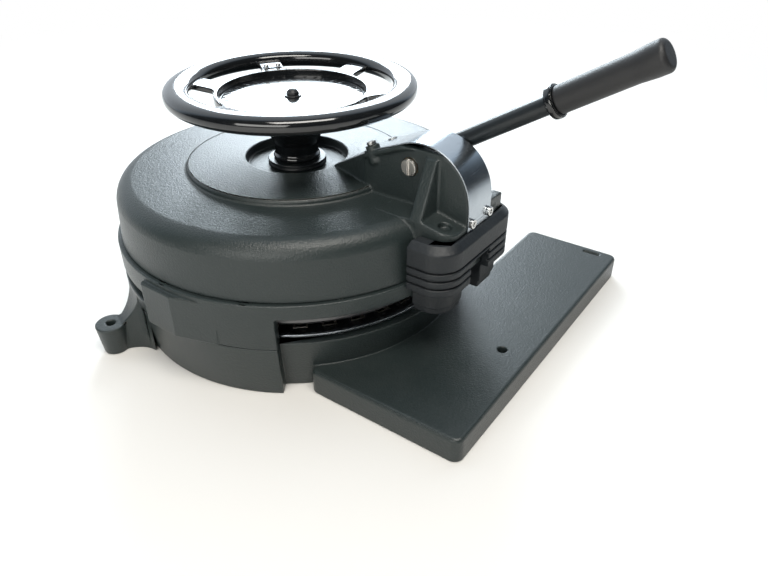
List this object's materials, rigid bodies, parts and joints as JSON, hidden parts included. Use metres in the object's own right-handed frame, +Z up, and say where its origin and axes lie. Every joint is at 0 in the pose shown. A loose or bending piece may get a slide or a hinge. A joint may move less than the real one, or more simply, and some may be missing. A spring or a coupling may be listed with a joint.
{
  "type": "rotary stencil cutting machine",
  "caption": "Hand-operated rotary stencil cutter: a handwheel turns a punch disc over a die disc, and a side lever with a cam drives a ram to punch the board fed in at the front.",
  "frame": {"origin": "on the spindle line at the flat underside of the base casting", "axes": "+Z up along the spindle, -Y towards the operator and the punch station, +X to the operator's right"},
  "size_m": [0.4565, 0.5341, 0.3214],
  "materials": {
    "housing_paint": "semi-gloss dark slate enamel over a fine cast grain",
    "guard_black": "matte black paint",
    "black_enamel": "gloss black enamel",
    "bright_steel": "bright brushed steel",
    "ground_steel": "ground steel",
    "cast_disc": "machined cast iron, oiled",
    "spring_steel": "blued spring steel",
    "zinc_steel": "zinc plated",
    "dark_steel": "blackened steel",
    "bronze": "plain bearing bronze",
    "grip_rubber": "matte black rubber"
  },
  "bodies": {
    "frame": {"base_casting": "housing_paint", "lower_bush": "bronze", "thrust_washer": "bronze", "lower_ring": "housing_paint", "post_bolts": "zinc_steel", "housing_screws": "zinc_steel", "top_housing": "housing_paint", "upper_bush": "bronze", "hub_collar": "black_enamel", "band_cover": "bright_steel", "band_screws": "zinc_steel", "shaft_bushes": "bronze", "ram_bush": "bronze", "front_guard": "guard_black", "ram_spring": "spring_steel", "detent_block": "dark_steel", "detent_screws": "zinc_steel", "detent_spring": "spring_steel"},
    "turret": {"spindle": "ground_steel", "die_disc": "bright_steel", "die_buttons": "ground_steel", "throat_spacer": "ground_steel", "punch_disc": "cast_disc", "punches": "ground_steel", "spring_star": "spring_steel", "star_screws": "zinc_steel", "index_ring": "ground_steel", "wheel_hub": "black_enamel", "handwheel": "black_enamel", "dial_plate": "black_enamel", "index_clip": "bright_steel", "clip_screws": "zinc_steel", "wheel_nut": "dark_steel", "wheel_washer": "dark_steel"},
    "lever": {"lever_shaft": "ground_steel", "lever_arm": "black_enamel", "lever_collar": "black_enamel", "grip": "grip_rubber", "shaft_nut": "zinc_steel", "cam": "ground_steel"},
    "ram": {"ram": "ground_steel", "ram_cap": "ground_steel"},
    "station_punch": {"station_punch": "ground_steel"},
    "detent": {"detent_plunger": "ground_steel"}
  },
  "joints": [
    {"name": "wheel_turn", "type": "hinge", "parent": "frame", "child": "turret", "pos_m": [0, 0, 0.1], "axis": [0, 0, 1], "continuous": true},
    {"name": "lever_press", "type": "hinge", "parent": "frame", "child": "lever", "pos_m": [0, -0.153, 0.198], "axis": [1, 0, 0], "range_deg": [0, 40], "stiffness_Nm_per_rad": 4, "springref_deg": -34.38},
    {"name": "ram_slide", "type": "slide", "parent": "frame", "child": "ram", "axis": [0, 0, -1], "range_m": [0, 0.0076], "deforming": ["ram_spring"]},
    {"name": "detent_slide", "type": "slide", "parent": "frame", "child": "detent", "axis": [0, 0, -1], "range_m": [0, 0.0033], "stiffness_N_per_m": 400, "springref_m": -0.004, "deforming": ["detent_spring"]},
    {"name": "punch_slide", "type": "slide", "parent": "turret", "child": "station_punch", "axis": [0, 0, -1], "range_m": [0, 0.0076]}
  ],
  "couplings": [
    {"joint": "ram_slide", "follows": "lever_press", "m_per_rad": 0.010743},
    {"joint": "punch_slide", "follows": "lever_press", "m_per_rad": 0.010743}
  ]
}
